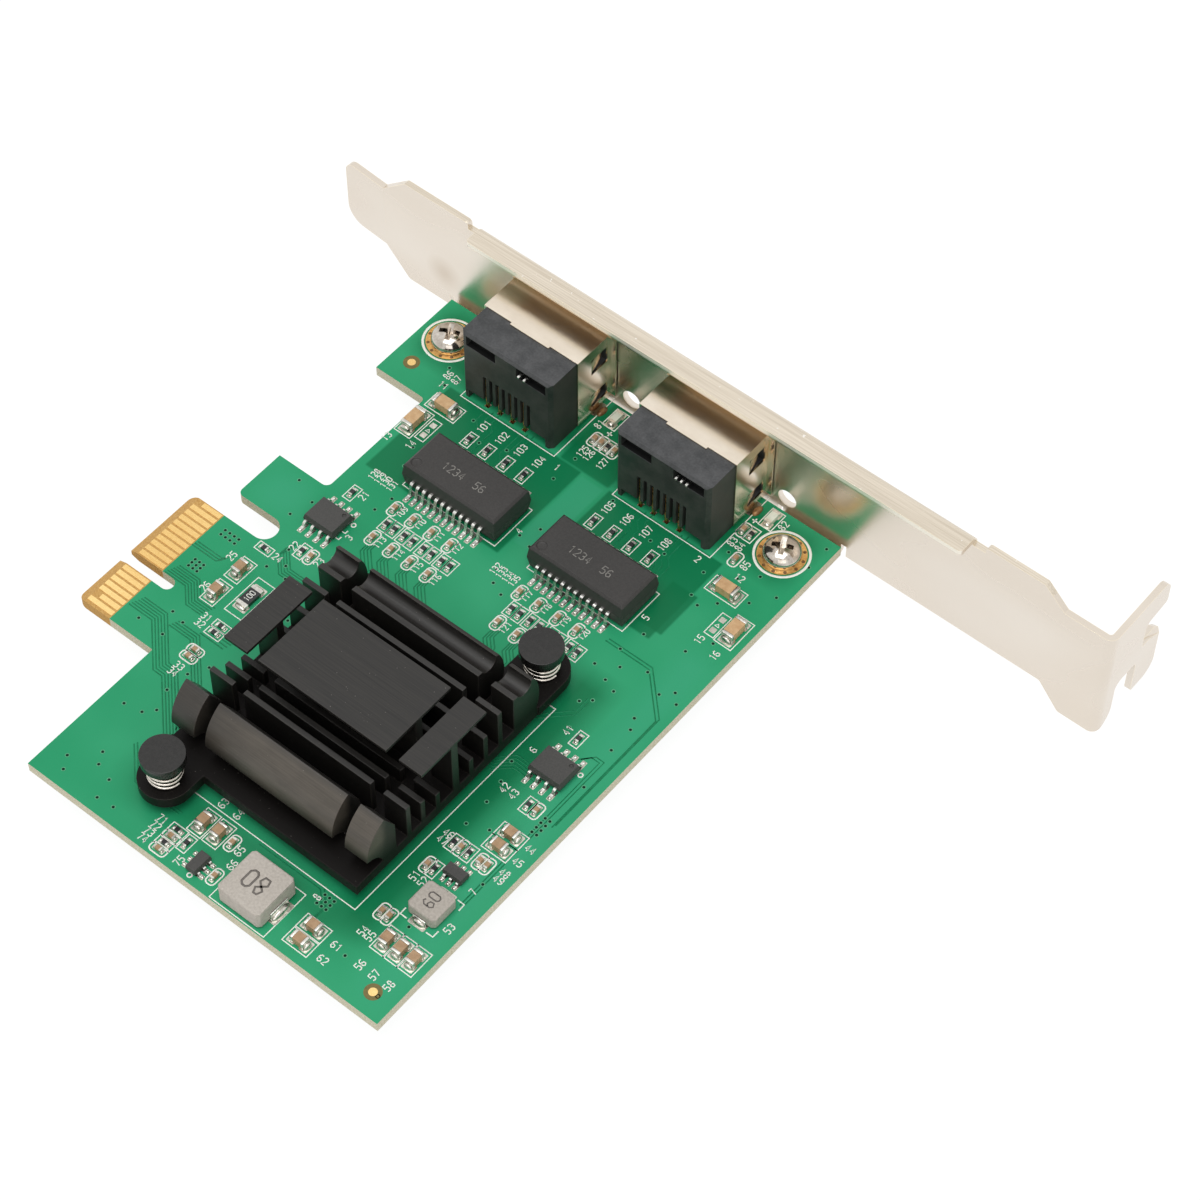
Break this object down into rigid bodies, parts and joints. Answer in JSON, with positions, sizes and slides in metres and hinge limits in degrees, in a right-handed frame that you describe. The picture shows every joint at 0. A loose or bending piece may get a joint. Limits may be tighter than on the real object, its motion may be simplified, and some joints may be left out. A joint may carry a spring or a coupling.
{
  "type": "network interface card",
  "caption": "Network interface card with modular jacks on a full-height bracket, a finned heatsink held by push pins and a card-edge connector.",
  "frame": {"origin": "tip of the edge connector's tongue, on the key notch's centre line, at the component face of the board", "axes": "+X from the connector's tip towards the bracket's screw tab, +Y towards the bracket, +Z out of the component face"},
  "size_m": [0.1197, 0.0987, 0.0221],
  "materials": {
    "board_lacquer": "green solder mask over glass-epoxy laminate",
    "gold_plating": "thin gold plating",
    "bracket_steel": "satin nickel-plated sheet steel",
    "screw_chrome": "bright plated",
    "carrier_laminate": "green laminate",
    "chip_epoxy": "moulded epoxy",
    "thermal_pad": "soft grey pad",
    "heatsink_black": "black anodised aluminium",
    "pin_plastic": "black nylon",
    "spring_steel": "drawn wire",
    "jack_plastic": "black glass-filled plastic",
    "jack_shield": "nickel-plated sheet",
    "contact_copper": "copper alloy, plated at the tips",
    "transformer_epoxy": "moulded epoxy",
    "tin_leads": "tin plated",
    "tin_ends": "tin plated",
    "inductor_grey": "pressed powder",
    "tan_ceramic": "sintered ceramic",
    "brown_ceramic": "sintered ceramic",
    "resistor_black": "glazed film on ceramic",
    "lamp_epoxy": "clear epoxy"
  },
  "bodies": {
    "root": {"board": "board_lacquer", "edge_fingers_top": "gold_plating", "edge_fingers_bottom": "gold_plating", "bracket": "bracket_steel", "bracket_screws": "screw_chrome", "controller_carrier": "carrier_laminate", "controller_chip": "chip_epoxy", "thermal_pad": "thermal_pad", "heatsink": "heatsink_black", "push_pins": "pin_plastic", "push_pin_springs": "spring_steel", "jack_one_housing": "jack_plastic", "jack_two_housing": "jack_plastic", "jack_one_shield": "jack_shield", "jack_two_shield": "jack_shield", "jack_one_contacts": "contact_copper", "jack_two_contacts": "contact_copper", "transformer_one_body": "transformer_epoxy", "transformer_two_body": "transformer_epoxy", "transformer_one_leads": "tin_leads", "transformer_two_leads": "tin_leads", "boot_memory_body": "chip_epoxy", "settings_memory_body": "chip_epoxy", "boot_memory_leads": "tin_leads", "settings_memory_leads": "tin_leads", "regulator_bodies": "chip_epoxy", "regulator_leads": "tin_leads", "large_inductor_body": "inductor_grey", "small_inductor_body": "inductor_grey", "large_inductor_terminals": "tin_leads", "small_inductor_terminals": "tin_leads", "filter_capacitors_bodies": "tan_ceramic", "filter_capacitors_end_caps": "tin_ends", "power_capacitors_bodies": "brown_ceramic", "power_capacitors_end_caps": "tin_ends", "link_resistor_bodies": "resistor_black", "link_resistor_end_caps": "tin_ends", "small_resistors": "resistor_black", "small_capacitors": "brown_ceramic", "status_lamps_bodies": "lamp_epoxy", "status_lamps_end_caps": "tin_ends"}
  },
  "joints": []
}
